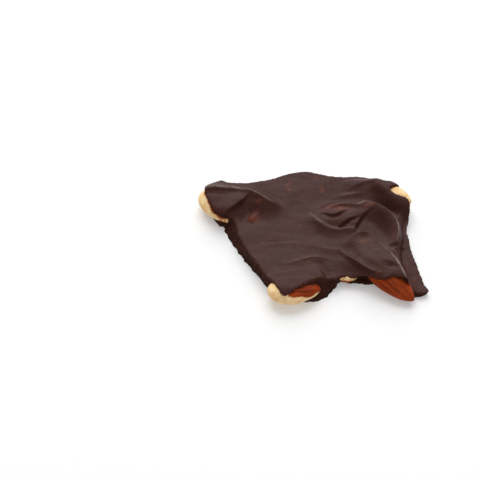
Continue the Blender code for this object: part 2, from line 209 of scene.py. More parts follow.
# Broad changes of level: the chocolate over each nut, and the swells and dips between them.
MOUNDS = (
    Mound(-38.0, 15.0, 11.8, 8.2, -50.0, 3.4, 4.0),
    Mound(-35.8, 14.4, 6.5, 3.8, -38.0, 0.7, 2.4),
    Mound(-8.8, -32.8, 14.0, 8.0, 2.0, 2.6, 2.8),
    Mound(27.0, -26.6, 14.5, 8.2, -50.0, 3.3, 2.6),
    Mound(20.0, -15.0, 12.0, 7.6, -50.0, 1.3, 2.6),
    Mound(34.0, 19.2, 11.5, 5.8, -47.0, 3.4, 4.0),
    Mound(23.5, 23.8, 9.0, 5.6, -25.0, 2.0, 2.6),
    Mound(12.5, 5.0, 11.5, 7.6, -12.0, 2.6, 2.6),
    Mound(-24.7, 6.2, 2.3, 1.6, 58.0, 1.4, 2.4),
    Mound(25.4, 0.0, 8.4, 5.0, -65.0, -1.7, 2.6),
    Mound(14.3, -14.0, 5.0, 3.2, -60.0, -0.9, 2.6),
    Mound(28.3, -23.6, 3.2, 1.4, -30.0, -0.7, 2.6),
    Mound(14.0, -27.0, 9.5, 6.0, -4.0, -1.7, 2.6),
    Mound(41.0, -33.0, 13.0, 6.0, -75.0, -0.9, 2.0),
    Mound(-2.0, 30.0, 26.0, 13.0, 0.0, 1.1, 2.2),
    Mound(-26.0, 24.0, 12.0, 7.0, -10.0, 0.9, 2.6),
    Mound(-28.6, 7.4, 7.0, 4.4, -38.0, -1.2, 2.2),
    Mound(-20.0, -12.0, 12.0, 8.0, -60.0, -0.3, 2.6),
    Mound(2.0, -4.0, 10.0, 6.0, -20.0, -0.4, 2.6),
)

# Folds: a line of (x, y, rise), then the flank widths left and right of its direction, then how sharp it is.
CRESTS = (
    Crest(((-47.0, 20.8, 1.2), (-44.3, 20.7, 1.5), (-39.8, 19.9, 1.7), (-34.4, 19.3, 1.8), (-29.8, 20.1, 1.4),
           (-24.0, 19.4, 0.0)), 7.0, 3.4, 0.9),
    Crest(((-36.0, 19.0, 0.0), (-30.8, 19.2, 1.8), (-25.4, 18.0, 3.5), (-21.0, 15.0, 3.9), (-17.0, 12.6, 2.9),
           (-11.6, 10.6, 0.0)), 5.0, 8.6, 0.45),
    Crest(((-37.0, 5.6, 0.6), (-33.9, 7.8, 1.8), (-29.8, 12.2, 1.8), (-26.4, 16.8, 0.4),
           (-25.2, 18.2, 0.0)), 6.5, 0.8, 0.7),
    Crest(((-23.5, -10.8, 0.0), (-15.8, -8.9, 0.35), (-5.8, -8.9, 0.35), (4.1, -11.7, 0.4),
           (13.0, -13.0, 0.0)), 2.0, 3.5, 0.6),
    Crest(((-13.5, -19.8, 0.0), (-8.1, -18.4, 0.5), (-4.1, -16.7, 0.55), (1.9, -16.1, 0.45),
           (8.4, -18.4, 0.0)), 1.6, 4.0, 0.8),
    Crest(((0.6, -18.4, 0.0), (3.6, -23.5, -0.9), (5.0, -30.6, -1.1)), 2.6, 2.6, 0.3),
    Crest(((2.6, 9.8, 0.0), (9.1, 11.6, 1.3), (13.2, 12.0, 1.6), (17.5, 12.0, 1.2), (21.5, 12.8, 0.0)),
          4.0, 2.6, 0.6),
    Crest(((15.0, 12.4, 0.0), (18.5, 13.2, 0.5), (21.9, 13.9, 1.6), (25.6, 11.8, 2.5), (29.3, 9.0, 3.0),
           (32.6, 5.0, 3.0), (34.0, 0.6, 2.8), (34.0, -4.8, 2.2), (32.4, -11.1, 0.8), (31.0, -14.4, 0.0)),
          2.0, 8.0, 0.3),
    Crest(((16.4, -4.0, 0.0), (18.3, 1.0, -1.5), (21.1, 6.8, -1.6), (24.2, 9.4, 0.0)), 0.9, 6.5, 0.6),
    Crest(((10.2, -0.8, 0.0), (11.9, 0.4, -1.2), (15.1, 2.9, -1.1), (19.0, 5.2, 0.0)), 0.8, 2.2, 0.6),
    Crest(((4.4, 6.6, 0.0), (6.5, 5.4, -1.0), (9.0, 5.2, -1.4), (11.4, 6.5, -1.0), (14.6, 8.6, 0.0)),
          0.7, 2.4, 0.6),
    Crest(((-1.0, 7.2, 0.0), (1.9, 3.1, 0.8), (5.0, -0.1, 0.9), (8.9, -1.8, 0.9), (14.6, -1.8, 0.8),
           (19.0, -1.8, 0.0)), 1.8, 5.0, 0.7),
    Crest(((23.6, 16.4, 0.0), (26.5, 14.5, -0.6), (29.4, 12.7, -1.1), (32.7, 10.6, -1.3), (35.5, 9.4, -1.0),
           (40.0, 8.6, -0.6)), 3.2, 1.6, 0.4),
    Crest(((12.6, -9.6, 0.0), (17.5, -4.8, 1.4), (22.0, -4.1, 2.0), (24.9, -8.1, 1.8), (27.5, -12.6, 1.8),
           (30.1, -17.4, 1.9), (31.9, -22.2, 2.0), (33.6, -26.8, 1.8), (35.9, -33.0, 1.0)), 1.8, 5.5, 0.9),
    Crest(((29.4, -11.8, 0.0), (31.8, -16.0, 0.6), (34.2, -21.5, 0.0)), 0.9, 0.9, 0.9),
    Crest(((9.6, -12.4, 0.0), (11.9, -15.6, 0.9), (14.5, -18.7, 1.2), (17.5, -22.2, 1.3), (21.0, -25.6, 1.0),
           (25.5, -28.2, 0.0)), 2.6, 1.8, 0.8),
    Crest(((30.6, -10.8, 0.0), (33.0, -10.2, -0.9), (36.4, -9.2, -0.3), (41.0, -8.2, 0.0)), 1.4, 1.2, 0.4),
    Crest(((8.0, 17.6, 0.0), (15.8, 19.2, 0.5), (23.0, 19.6, 0.0)), 2.0, 2.4, 0.7),
    Crest(((15.4, 22.5, 0.0), (22.4, 24.8, 0.6), (29.0, 25.0, 0.0)), 2.4, 2.0, 0.7),
)

# The thin flange along the right: right of this line the plate is lower.
FLANGE_LINE = ((46.0, 11.0), (40.0, 9.8), (37.2, 8.4), (35.9, 4.0), (35.5, -4.0), (34.2, -11.0),
               (34.0, -18.0), (34.8, -25.0), (36.2, -33.0))
FLANGE_DROP = 3.1
FLANGE_WIDTH = 1.1

# Where a nut fell out of the front break, and how deep a hollow it left.
LOST_NUT = Almond(19.8, -27.0, 3.2, 4.0, 0.0, 0.0, 8.8, 6.4, 5.2)
LOST_NUT_DEPTH = 3.2

# Marks under a millimetre wide, which only this dressed piece has.
FINE_CRESTS = (
    Crest(((-44.6, 20.4, 0.3), (-40.2, 19.8, 0.5), (-36.4, 19.2, 0.7), (-33.4, 19.0, 0.6),
           (-30.0, 19.2, 0.0)), 0.8, 0.7, 0.8),
    Crest(((-33.0, 19.1, 0.0), (-30.8, 19.3, 0.18), (-25.4, 18.1, 0.18), (-21.0, 15.1, 0.18),
           (-18.6, 13.6, 0.2), (-16.0, 12.2, 0.0)), 0.8, 0.7, 0.8),
    Crest(((-41.5, 16.9, 0.0), (-38.0, 16.4, -0.25), (-33.0, 15.6, 0.0)), 0.5, 0.5, 0.6),
    Crest(((-19.8, -8.2, 0.0), (-17.8, -7.3, -0.2), (-13.8, -7.3, -0.2), (-9.0, -8.1, 0.0)), 0.4, 0.6, 0.6),
    Crest(((-12.6, -20.1, 0.0), (-10.1, -19.6, 0.16), (-7.3, -18.6, 0.12), (-4.5, -17.4, 0.14),
           (-1.3, -16.4, 0.16), (3.0, -16.2, 0.0)), 0.45, 0.7, 0.9),
    Crest(((-10.9, -18.9, 0.0), (-8.0, -18.0, -0.35), (-5.4, -16.9, -0.3),
           (-3.0, -16.0, 0.0)), 0.4, 0.4, 0.6),
    Crest(((10.6, -0.5, 0.0), (12.4, 0.7, -0.4), (15.1, 2.9, -0.4), (18.0, 4.4, 0.0)), 0.4, 0.6, 0.5),
    Crest(((7.4, 11.6, 0.0), (10.4, 12.2, 0.12), (13.2, 12.5, 0.15), (18.0, 12.8, 0.12), (21.6, 14.0, 0.12),
           (24.0, 13.4, 0.0)), 1.3, 1.3, 0.5),
    Crest(((23.0, 13.9, 0.0), (25.6, 11.8, 0.06), (29.3, 9.0, 0.06), (32.6, 5.0, 0.12),
           (34.0, 0.6, 0.24), (34.0, -4.8, 0.24), (33.0, -9.0, 0.0)), 0.6, 0.6, 0.8),
    Crest(((22.0, -4.1, 0.0), (24.9, -8.1, 0.05), (27.5, -12.6, 0.12), (30.1, -17.4, 0.18),
           (31.9, -22.2, 0.5), (33.6, -26.8, 0.5), (35.2, -31.0, 0.5)), 1.0, 1.0, 0.8),
    Crest(((27.4, -8.0, 0.0), (29.3, -11.0, 0.14), (30.9, -12.6, 0.16), (32.4, -13.6, 0.0)), 0.4, 0.5, 0.9),
    Crest(((10.6, -14.0, 0.0), (14.5, -18.7, 0.12), (17.5, -22.2, 0.12), (21.0, -25.6, 0.12),
           (25.0, -28.0, 0.0)), 0.5, 0.5, 0.9),
    Crest(((-1.6, 8.0, 0.0), (0.4, 5.4, 0.12), (1.9, 3.1, 0.12), (5.0, -0.1, 0.04), (8.9, -1.8, 0.06),
           (14.6, -1.8, 0.06), (19.0, -1.8, 0.0)), 1.2, 1.2, 0.5),
    Crest(((16.4, -10.4, 0.0), (17.4, -10.9, -0.3), (18.4, -11.0, 0.0)), 0.4, 0.4, 0.6),
    Crest(((19.0, -11.8, 0.0), (20.4, -12.6, -0.3), (21.8, -12.9, 0.0)), 0.4, 0.4, 0.6),
    Crest(((14.0, 26.6, 0.0), (19.0, 27.0, 0.1), (25.0, 25.6, 0.1), (29.0, 24.4, 0.0)), 1.0, 1.2, 0.6),
    Crest(((11.0, 19.4, 0.0), (15.0, 20.2, 0.05), (20.0, 19.8, 0.0)), 1.0, 1.2, 0.6),
    Crest(((26.4, -23.8, 0.0), (28.2, -24.2, -0.5), (30.4, -24.0, 0.0)), 0.6, 0.6, 0.5),
)

# Warm paler patches on the top, (x, y, half length, half width, heading, strength): smears of cocoa, and on
# the nub and on the fold near x 7 to 12 a painted reddish highlight.
SMEARS_AND_HIGHLIGHTS = (
    (-24.5, 6.0, 2.6, 1.8, 58.0, 0.9),
    (-9.6, 25.4, 2.2, 0.8, 60.0, 0.5),
    (-9.4, 22.0, 2.4, 0.6, 0.0, 0.5),
    (4.4, 22.1, 1.0, 1.4, 0.0, 0.6),
    (2.1, 29.0, 1.4, 0.7, 0.0, 0.4),
    (-22.4, 13.0, 1.6, 0.8, 0.0, 0.5),
    (7.0, 10.4, 4.0, 1.0, 20.0, 0.6),
    (11.6, 9.6, 3.4, 1.2, 10.0, 0.7),
    (22.6, 11.6, 2.6, 0.7, 10.0, 0.6),
    (20.0, -8.6, 3.0, 1.2, 0.0, 0.5),
    (-9.8, -10.4, 0.7, 0.5, 0.0, 0.6),
    (-2.6, -19.1, 0.8, 0.4, 0.0, 0.6),
    (-21.0, -8.0, 0.5, 0.4, 0.0, 0.7),
    (-5.4, 1.8, 0.5, 0.4, 0.0, 0.6),
    (36.8, -18.0, 1.2, 0.5, 80.0, 0.5),
    (38.8, -25.6, 1.0, 0.4, 80.0, 0.5),
)

# Crumbs left by the break: (x, y, spread, how many, largest radius).
CRUMBS = (
    (-43.0, 21.0, 1.6, 8, 0.42),
    (-39.6, 21.8, 2.2, 6, 0.36),
    (9.8, -24.8, 1.6, 4, 0.26),
    (24.4, -28.8, 1.3, 6, 0.45),
    (17.0, -26.2, 1.4, 3, 0.3),
    (-4.0, -30.6, 2.0, 2, 0.3),
    (37.2, -16.0, 5.0, 4, 0.24),
    (0.0, 0.0, 26.0, 12, 0.2),
)

# The smallest crumb as a share of the largest, a crumb's length, width and thickness as shares of its size,
# and how high its middle lies and how lumpy it is, as shares too.
SMALLEST_CRUMB = 0.45
CRUMB_SHAPE = (1.0, 0.65, 0.45)
CRUMB_LIFT = 0.1
CRUMB_LUMPS = 0.5

POURED_TONES = ("#3b1d18", "#331816", "#452924", "#4b2d26")
# Smears of cocoa, and a painted reddish highlight on the nub and a fold.
SMEAR_AND_HIGHLIGHT_TONE = "#7c4330"
# The ridges: scuffing and a painted highlight.
RIDGE_SCUFF_AND_HIGHLIGHT_TONE = "#a08c84"
BROKEN_TONES = ("#412118", "#2c1611")
# The arris: wear and a painted highlight.
ARRIS_WEAR_AND_HIGHLIGHT_TONE = "#5c352a"
FLECK_TONE = "#64402c"
FLECKS_PER_MM = 1.1
SKIN_TONES = ("#a03c0d", "#66230a", "#bd5f24")
FLESH_TONES = ("#f4d7a6", "#e8ba80", "#a8622e")
CRUMB_TONES = ("#9a6a48", "#6b3f28")
SWEEP_TONE = "#d7d7d7"
WHITE = "#ffffff"
# Cocoa butter and almond oil both bend light about this much.
FAT_IOR = 1.45

# The sweep glows a little of its own, so that the shadows on it stay pale.
SURROUND = 0.36
SWEEP_GLOW = 0.25
SWEEP_HALF_WIDTH = 3.0
SWEEP_GAP = 0.05
# Each softbox: its name, its place and width in metres, and its power in watts.
SOFTBOXES = (
    ("softbox_behind", (0.0, 1.05, 1.0), 1.6, 28.0),
    ("softbox_above", (0.0, 0.1, 1.2), 1.2, 2.0),
    ("softbox_in_front", (0.0, -1.2, 0.45), 1.6, 3.0),
)

# The camera looks down at a place on the floor. From this far its lens gives 2.45 pixels to the millimetre.
CAMERA_TARGET = (-29.83, -0.87)
CAMERA_DISTANCE = 544.2
CAMERA_TILT = 45.0
LENS_LENGTH = 100.0
SENSOR_WIDTH = 36.0
NEAREST_SEEN = 0.01


def linear(code, alpha=1.0):
    """An sRGB hex colour as linear values."""
    parts = [int(code[k:k + 2], 16) / 255 for k in (1, 3, 5)]
    return tuple(c / 12.92 if c <= 0.04045 else ((c + 0.055) / 1.055) ** 2.4 for c in parts) + (alpha,)


def spline(points, step, closed):
    """Points at about one step along a smooth curve through the rows of points, in any number of columns."""
    rows = np.asarray(points, float)
    count = len(rows)
    if closed:
        rows = np.vstack([rows[-1], rows, rows[0], rows[1]])
        spans = count
    else:
        rows = np.vstack([2 * rows[0] - rows[1], rows, 2 * rows[-1] - rows[-2]])
        spans = count - 1
    out = []
    for k in range(spans):
        before, start, end, after = rows[k:k + 4]
        pieces = max(1, round(float(np.linalg.norm((end - start)[:2])) / step))
        for t in np.arange(pieces) / pieces:
            out.append(0.5 * (2 * start + (end - before) * t
                              + (2 * before - 5 * start + 4 * end - after) * t * t
                              + (3 * start - before - 3 * end + after) * t ** 3))
    if not closed:
        out.append(rows[-2])
    return np.array(out)


def nearest_on(line, x, y):
    """Each place's distance from a line, its side (+1 is left), and the line's third column near it."""
    gap_x = x[:, None] - line[None, :, 0]
    gap_y = y[:, None] - line[None, :, 1]
    square = gap_x ** 2 + gap_y ** 2
    row = np.argmin(square, axis=1)
    weight = np.exp((square.min(axis=1, keepdims=True) - square) / LINE_BLEND)
    value = weight @ line[:, -1] / weight.sum(axis=1)
    heading = np.gradient(line[:, :2], axis=0)[row]
    heading /= np.linalg.norm(heading, axis=1, keepdims=True)
    pick = np.arange(len(x))
    across = heading[:, 0] * gap_y[pick, row] - heading[:, 1] * gap_x[pick, row]
    ends = (row == 0) | (row == len(line) - 1)
    distance = np.where(ends, np.sqrt(square[pick, row]), np.abs(across))
    return distance, np.where(across >= 0, 1.0, -1.0), value


def mound_rise(mound, x, y):
    """A rounded form, with the profile of a nut under a coat of chocolate."""
    turn = math.radians(mound.heading)
    along = (x - mound.x) * math.cos(turn) + (y - mound.y) * math.sin(turn)
    across = (y - mound.y) * math.cos(turn) - (x - mound.x) * math.sin(turn)
    reach = np.hypot(along / mound.half_length, across / mound.half_width)
    return mound.rise * np.exp(-MOUND_FALL * reach ** mound.steep)


def crest_rise(crest, x, y):
    """A fold along a line, with a flank of its own width each side."""
    line = spline(crest.points, CURVE_SAMPLE, closed=False)
    distance, side, rise = nearest_on(line, x, y)
    out = np.clip(distance / np.where(side > 0, crest.left, crest.right), 0, 1)
    profile = crest.sharp * (1 - out) ** 2 + (1 - crest.sharp) * (1 - out ** 2) ** 2
    return rise * profile


def flange_drop(x, y):
    """How far the plate drops across the flange's line."""
    line = spline(FLANGE_LINE, CURVE_SAMPLE, closed=False)
    distance, side, _ = nearest_on(line, x, y)
    share = np.clip(0.5 + 0.5 * side * distance / FLANGE_WIDTH, 0, 1)
    return FLANGE_DROP * share ** 2 * (3 - 2 * share)


def top_height(x, y):
    """The height of the poured top over each place, in millimetres."""
    rise, along, across = LONG_WAVE
    height = PLATE_THICKNESS + rise * np.sin(x / along + 0.6) * np.cos(y / across)
    rise, along, across = SHORT_WAVE
    height = height + rise * np.sin(y / across - x / along)
    height = height - flange_drop(x, y)
    for mound in MOUNDS:
        height = height + mound_rise(mound, x, y)
    for crest in CRESTS:
        height = height + crest_rise(crest, x, y)
    return height


def fine_relief(x, y):
    """The narrow marks of the top, and how much of a ridge each place is."""
    fine = np.zeros(len(x))
    for crest in FINE_CRESTS:
        fine = fine + crest_rise(crest, x, y)
    ridges = np.clip(fine / FULL_RIDGE, 0, 1)
    for rise, along, across, layer in RIPPLES:
        ripple = [noise.noise(Vector((a / along, b / across, layer))) for a, b in zip(x, y)]
        fine = fine + rise * np.array(ripple)
    return fine, ridges


def smear_and_highlight_strength(x, y):
    """How warm each place of the top is, from smears of cocoa and painted reddish highlights."""
    warm = np.zeros(len(x))
    for smear_and_highlight in SMEARS_AND_HIGHLIGHTS:
        warm = np.maximum(warm, mound_rise(Mound(*smear_and_highlight, 2.0), x, y))
    return warm


def jagged_outline():
    """The top edge and its foot as rows of (x, y, foot_x, foot_y), with the small steps of a hand break."""
    rows = spline(OUTLINE, OUTLINE_STEP, closed=True)
    for row in rows:
        jag = noise.noise_vector(Vector((row[0] * JAG_PITCH, row[1] * JAG_PITCH, 3.0)))
        chip = noise.noise_vector(Vector((row[0] * CHIP_PITCH, row[1] * CHIP_PITCH, 9.0)))
        row[0] += (jag.x + CHIP_SHARE * chip.x) * EDGE_JAG
        row[1] += (jag.y + CHIP_SHARE * chip.y) * EDGE_JAG
    return rows


def inside(outline, x, y):
    """Which places lie inside the closed outline."""
    odd = np.zeros(len(x), bool)
    ahead = np.roll(outline, -1, axis=0)
    for start, end in zip(outline, ahead):
        if start[1] == end[1]:
            continue
        crosses = (start[1] > y) != (end[1] > y)
        odd ^= crosses & (x < (end[0] - start[0]) * (y - start[1]) / (end[1] - start[1]) + start[0])
    return odd


def nearest_row(outline, x, y, batch=4000):
    """The outline's nearest row to each place, and its distance, worked out a batch of places at a time."""
    rows, gaps = [], []
    for start in range(0, len(x), batch):
        square = ((x[start:start + batch, None] - outline[None, :, 0]) ** 2
                  + (y[start:start + batch, None] - outline[None, :, 1]) ** 2)
        rows.append(np.argmin(square, axis=1))
        gaps.append(np.sqrt(square.min(axis=1)))
    return np.concatenate(rows), np.concatenate(gaps)


def poured_sheet(bm, outline):
    """A fine flat grid cut to just inside the outline."""
    low, high = outline[:, :2].min(axis=0), outline[:, :2].max(axis=0)
    span, middle = high - low, (high + low) / 2
    counts = [int(s / TOP_STEP) for s in span]
    place = Matrix.Translation((middle[0], middle[1], 0)) @ Matrix.Diagonal((span[0], span[1], 1, 1))
    bmesh.ops.create_grid(bm, x_segments=counts[0], y_segments=counts[1], size=0.5, matrix=place)
    x, y = np.array([v.co[:2] for v in bm.verts]).T
    _, gap = nearest_row(outline, x, y)
    keep = inside(outline, x, y) & (gap > 0.5 * TOP_STEP)
    bmesh.ops.delete(bm, geom=[v for v, kept in zip(bm.verts, keep) if not kept], context="VERTS")
    while True:
        stray = [v for v in bm.verts if not v.link_faces or sum(e.is_boundary for e in v.link_edges) > 2]
        if not stray:
            break
        bmesh.ops.delete(bm, geom=stray, context="VERTS")


def extruded_rim(bm, edges):
    """Extrudes a row of edges and gives the open edges of what it made."""
    made = bmesh.ops.extrude_edge_only(bm, edges=edges)["geom"]
    return [g for g in made if isinstance(g, bmesh.types.BMEdge) and g.is_boundary]


def widen_to_outline(bm, outline, foot):
    """Carries the sheet's rim out to the snapped edge, and notes how far out the foot of the side is."""
    rim = extruded_rim(bm, [e for e in bm.edges if e.is_boundary])
    rim_verts = list(dict.fromkeys(v for e in rim for v in e.verts))
    x, y = np.array([v.co[:2] for v in rim_verts]).T
    rows, _ = nearest_row(outline, x, y)
    for vert, row in zip(rim_verts, outline[rows]):
        vert.co = (row[0], row[1], 0)
        vert[foot] = Vector((row[2], row[3], 0))
    return rim, rim_verts


def raise_top(bm, outline, arris, ridge, warm):
    """Lifts the flat sheet to the poured surface, and marks the arris, ridges and warm patches that carry
    wear, smears and painted highlights.
    """
    x, y = np.array([v.co[:2] for v in bm.verts]).T
    _, gap = nearest_row(outline, x, y)
    relief, ridges = fine_relief(x, y)
    smears_and_highlights = smear_and_highlight_strength(x, y)
    for vert, height, near, crest, smear_and_highlight in zip(bm.verts, top_height(x, y) + relief, gap, ridges, smears_and_highlights):
        vert.co.z = height - ARRIS_DROP * max(0.0, 1 - near / ARRIS_ROUND) ** 2
        vert[arris] = max(0.0, 1 - near / ARRIS_WEAR_AND_HIGHLIGHT)
        vert[ridge] = crest
        vert[warm] = smear_and_highlight


def hang_sides(bm, rim, top, foot, arris):
    """Extrudes the rim down to the base in many levels, each as rough as a snapped side."""
    for ring in range(1, WALL_RINGS + 1):
        share = 1 - ring / WALL_RINGS
        rim = extruded_rim(bm, rim)
        for vert in {v for e in rim for v in e.verts}:
            start = vert[top]
            vert.co = start + vert[foot] * (1 - share) ** FOOT_FLARE
            vert.co.z = start.z * share
            vert.co.x, vert.co.y = fractured(vert.co, min(1.0, (1 - share) * ROUGH_START))
            vert[arris] = WEAR_AND_HIGHLIGHT_UNDER_ARRIS if ring == 1 else 0.0
    bmesh.ops.contextual_create(bm, geom=rim)


def snapped_slab():
    """The slab: its poured top, then its snapped sides down to the flat base."""
    outline = jagged_outline()
    bm = bmesh.new()
    arris = bm.verts.layers.float.new("arris")
    ridge = bm.verts.layers.float.new("ridge")
    warm = bm.verts.layers.float.new("warm")
    top = bm.verts.layers.float_vector.new("rim_place")
    foot = bm.verts.layers.float_vector.new("rim_foot")
    poured_sheet(bm, outline)
    rim, rim_verts = widen_to_outline(bm, outline, foot)
    raise_top(bm, outline, arris, ridge, warm)
    for vert in rim_verts:
        vert[top] = vert.co
    poured = set(bm.faces)
    hang_sides(bm, rim, top, foot, arris)
    for face in bm.faces:
        face.material_index = 0 if face in poured else 1
    bmesh.ops.triangulate(bm, faces=bm.faces[:])
    bm.normal_update()
    bmesh.ops.recalc_face_normals(bm, faces=bm.faces[:])
    return bm, outline


def fractured(place, depth):
    """Where a place on a snapped side goes: the large steps of the break, its facets and its grit."""
    level = Vector((place.x, place.y, place.z * FRACTURE_STACK))
    step = noise.noise_vector(level / FRACTURE_GRAIN) * FRACTURE_DEPTH
    facet = noise.noise_vector(noise.voronoi(level / FACET_SIZE)[1][0] * FACET_SCATTER) * FACET_DEPTH
    grit = noise.noise_vector(level / GRIT_SIZE) * GRIT_DEPTH
    moved = (step + facet + grit) * depth
    return place.x + moved.x, place.y + moved.y + hollow_depth(place)


def hollow_depth(place):
    """How far in the side lies where a nut fell out of it."""
    if place.y >= LOST_NUT.y + LOST_NUT.width:
        return 0.0
    along = (place.x - LOST_NUT.x) * 2 / LOST_NUT.length
    up = (place.z - LOST_NUT.z) * 2 / LOST_NUT.thickness
    return LOST_NUT_DEPTH * max(0.0, 1 - math.hypot(along, up) ** 3)


def to_metres(bm):
    """Moves a mesh from the tables' millimetres to the piece's frame in metres."""
    shift = Matrix.Translation((FRAME_SHIFT[0] * MM, FRAME_SHIFT[1] * MM, 0))
    bm.transform(shift @ Matrix.Scale(MM, 4))


def bulge(share, blunt, point):
    """A nut's half width along its length, 1 at its widest: the lower each power, the rounder that end."""
    widest = blunt / (blunt + point)
    return (share / widest) ** blunt * ((1 - share) / (1 - widest)) ** point


def furrow_at(almond, place, angle):
    """How far up out of its furrows a nut's skin is, at a place on a ball that stands for the nut."""
    around = Vector((math.cos(angle) * FURROWS_AROUND, math.sin(angle) * FURROWS_AROUND,
                     place.z * FURROWS_ALONG + almond.x))
    return sum(share * abs(noise.noise(around * scale)) for scale, share in FURROW_LAYERS)


def chipped(place, start):
    """How much larger or smaller than a nut's form a chip is at a place: it has flats where it broke."""
    facet = noise.voronoi(Vector((place.z * 1.5, place.x * 1.1, place.y * 1.1 + start)))[0]
    return CHIP_SWELL - CHIP_FLATS * facet[0] + CHIP_GRIT * noise.noise(place * 4.0)


def whole_almond(almond, around=110, along=84):
    """A whole almond, lying in the slab, with the long wrinkles of its skin."""
    bm = bmesh.new()
    grain = bm.verts.layers.float_vector.new("grain")
    bmesh.ops.create_uvsphere(bm, u_segments=around, v_segments=along, radius=1.0)
    for vert in bm.verts:
        share = min(max((1 + vert.co.z) / 2, 0.0), 1.0)
        radius = math.hypot(vert.co.x, vert.co.y)
        across, up = (vert.co.x / radius, vert.co.y / radius) if radius > 1e-6 else (0.0, 0.0)
        angle = math.atan2(up, across)
        furrow = furrow_at(almond, vert.co, angle)
        swell = noise.noise(Vector((vert.co.z * SWELLS_ALONG, across, up + almond.y)))
        fade = min(1.0, 4 * share * (1 - share) * FURROW_FADE)
        size = 1 + (SKIN_SWELL * swell - FURROW_DEPTH * (0.5 - furrow)) * fade
        if almond.length < SHORTEST_WHOLE_NUT:
            size += chipped(vert.co, almond.y)
        thinned = 1 - NUT_EDGE_THINNING * abs(across) ** 3
        vert.co.x = vert.co.z * almond.length / 2
        vert.co.y = across * bulge(share, *NUT_OUTLINE) * almond.width / 2 * size
        vert.co.z = up * bulge(share, *NUT_PROFILE) * almond.thickness / 2 * thinned * size
        vert[grain] = (vert.co.x, angle * 4.0, furrow)
    turn = Euler([math.radians(a) for a in (almond.roll, -almond.pitch, almond.heading)], "XYZ")
    bm.transform(Matrix.Translation((almond.x, almond.y, almond.z)) @ turn.to_matrix().to_4x4())
    return bm


def bare_depth(name, place, out, fray):
    """How far past the end of a nut's skin a place is, in millimetres: under 0 it still has its skin."""
    if name == "almond_front_right":
        return -1.0
    if name == "almond_front_left":
        lift = ((place.y - SKIN_LINE_Y) + (place.z - SKIN_LINE_Z)) * COSINE_OF_TILT
        lift -= SKIN_LINE_SLOPE * max(0.0, place.x - SKIN_LINE_TURN)
        return -min(lift + SKIN_LINE_DROP + 0.5 * fray, place.x - SKIN_LEFT_END + 0.4 * fray)
    if name == "almond_chip":
        return 1.5 * (place.z - CHIP_BARE_HEIGHT) + 0.4 * fray
    return out - 0.1 + 0.5 * fray


def peel(bm, name, outline):
    """Marks where a nut has lost its skin: 0 is skin and 1 is bare flesh."""
    bare = bm.verts.layers.float.new("bare")
    x, y = np.array([v.co[:2] for v in bm.verts]).T
    _, gap = nearest_row(outline, x, y)
    gap = np.where(inside(outline, x, y), -gap, gap)
    for vert, out in zip(bm.verts, gap):
        fray = sum(reach * noise.noise(vert.co * scale) for scale, reach in FRAY_LAYERS)
        depth = bare_depth(name, vert.co, out, fray)
        vert[bare] = min(max(BARE_AT_EDGE + depth * BARE_RISE, 0.0), 1.0)


def loose_crumbs(outline):
    """Loose crumbs on the top, each a small lump with flats."""
    draw = np.random.default_rng(NOISE_SEED)
    bm = bmesh.new()
    for x, y, spread, count, largest in CRUMBS:
        places = draw.normal((x, y), spread / 2, (count, 2))
        places = places[inside(outline, *places.T) & (nearest_row(outline, *places.T)[1] > largest)]
        sizes = largest * draw.uniform(SMALLEST_CRUMB, 1.0, count)
        heights = top_height(places[:, 0], places[:, 1]) + fine_relief(places[:, 0], places[:, 1])[0]
        for (a, b), size, height in zip(places, sizes, heights):
            turn = Euler(draw.uniform(0, math.tau, 3)).to_matrix().to_4x4()
            shape = Matrix.Diagonal([size * s for s in CRUMB_SHAPE] + [1])
            place = Matrix.Translation((a, b, height + CRUMB_LIFT * size)) @ turn @ shape
            made = bmesh.ops.create_icosphere(bm, subdivisions=2, radius=1.0, matrix=place)
            for vert in made["verts"]:
                vert.co += noise.noise_vector(vert.co * 1.2 / size) * CRUMB_LUMPS * size
    return bm


def add_piece(name, bm, materials, slot_name, *nodes):
    """A finished piece at the origin, riding on the model's one body."""
    mesh = bpy.data.meshes.new(name)
    bm.to_mesh(mesh)
    bm.free()
    mesh.shade_smooth()
    for material in materials:
        mesh.materials.append(material)
    obj = bpy.data.objects.new(name, mesh)
    bpy.context.scene.collection.objects.link(obj)
    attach(obj, "root")
    if nodes:
        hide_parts(*nodes)


def node(tree, kind, settings, links=None):
    """Adds one shader node, sets its properties and sockets, and links others' outputs to its sockets."""
    made = tree.nodes.new(kind)
    for key, value in settings.items():
        if isinstance(key, str) and hasattr(made, key):
            setattr(made, key, value)
        else:
            made.inputs[key].default_value = value
    for key, source in (links or {}).items():
        tree.links.new(source, made.inputs[key])
    return made


def new_material(name):
    """An empty material, its tree and its shader."""
    material = bpy.data.materials.new(name)
    material.use_nodes = True
    return material, material.node_tree, material.node_tree.nodes["Principled BSDF"]


def between(low, high, to_low=0.0, to_high=1.0):
    """Settings that stretch a pattern from one range to another, and stop at its ends."""
    return {"clamp": True, "From Min": low, "From Max": high, "To Min": to_low, "To Max": to_high}


def marks_across(size_mm, detail, roughness=0.6):
    """Settings for a pattern whose marks are about that many millimetres across."""
    return {"Scale": 1 / (size_mm * MM), "Detail": detail, "Roughness": roughness}


def laid_over(tree, under, tone, pattern, span, most=1.0, least=0.0, where=None):
    """Lays a tone over a colour where a pattern rises through a span, within a mark if there is one."""
    stretched = node(tree, "ShaderNodeMapRange", between(*span, least, most), {"Value": pattern})
    share = stretched.outputs["Result"]
    if where is not None:
        share = node(tree, "ShaderNodeMath", {"operation": "MULTIPLY"}, {0: where, 1: share}).outputs[0]
    mixed = node(tree, "ShaderNodeMix", {"data_type": "RGBA"}, {"Factor": share})
    for key, colour in ((6, under), (7, tone)):
        if isinstance(colour, str):
            mixed.inputs[key].default_value = linear(colour)
        else:
            tree.links.new(colour, mixed.inputs[key])
    return mixed.outputs[2]


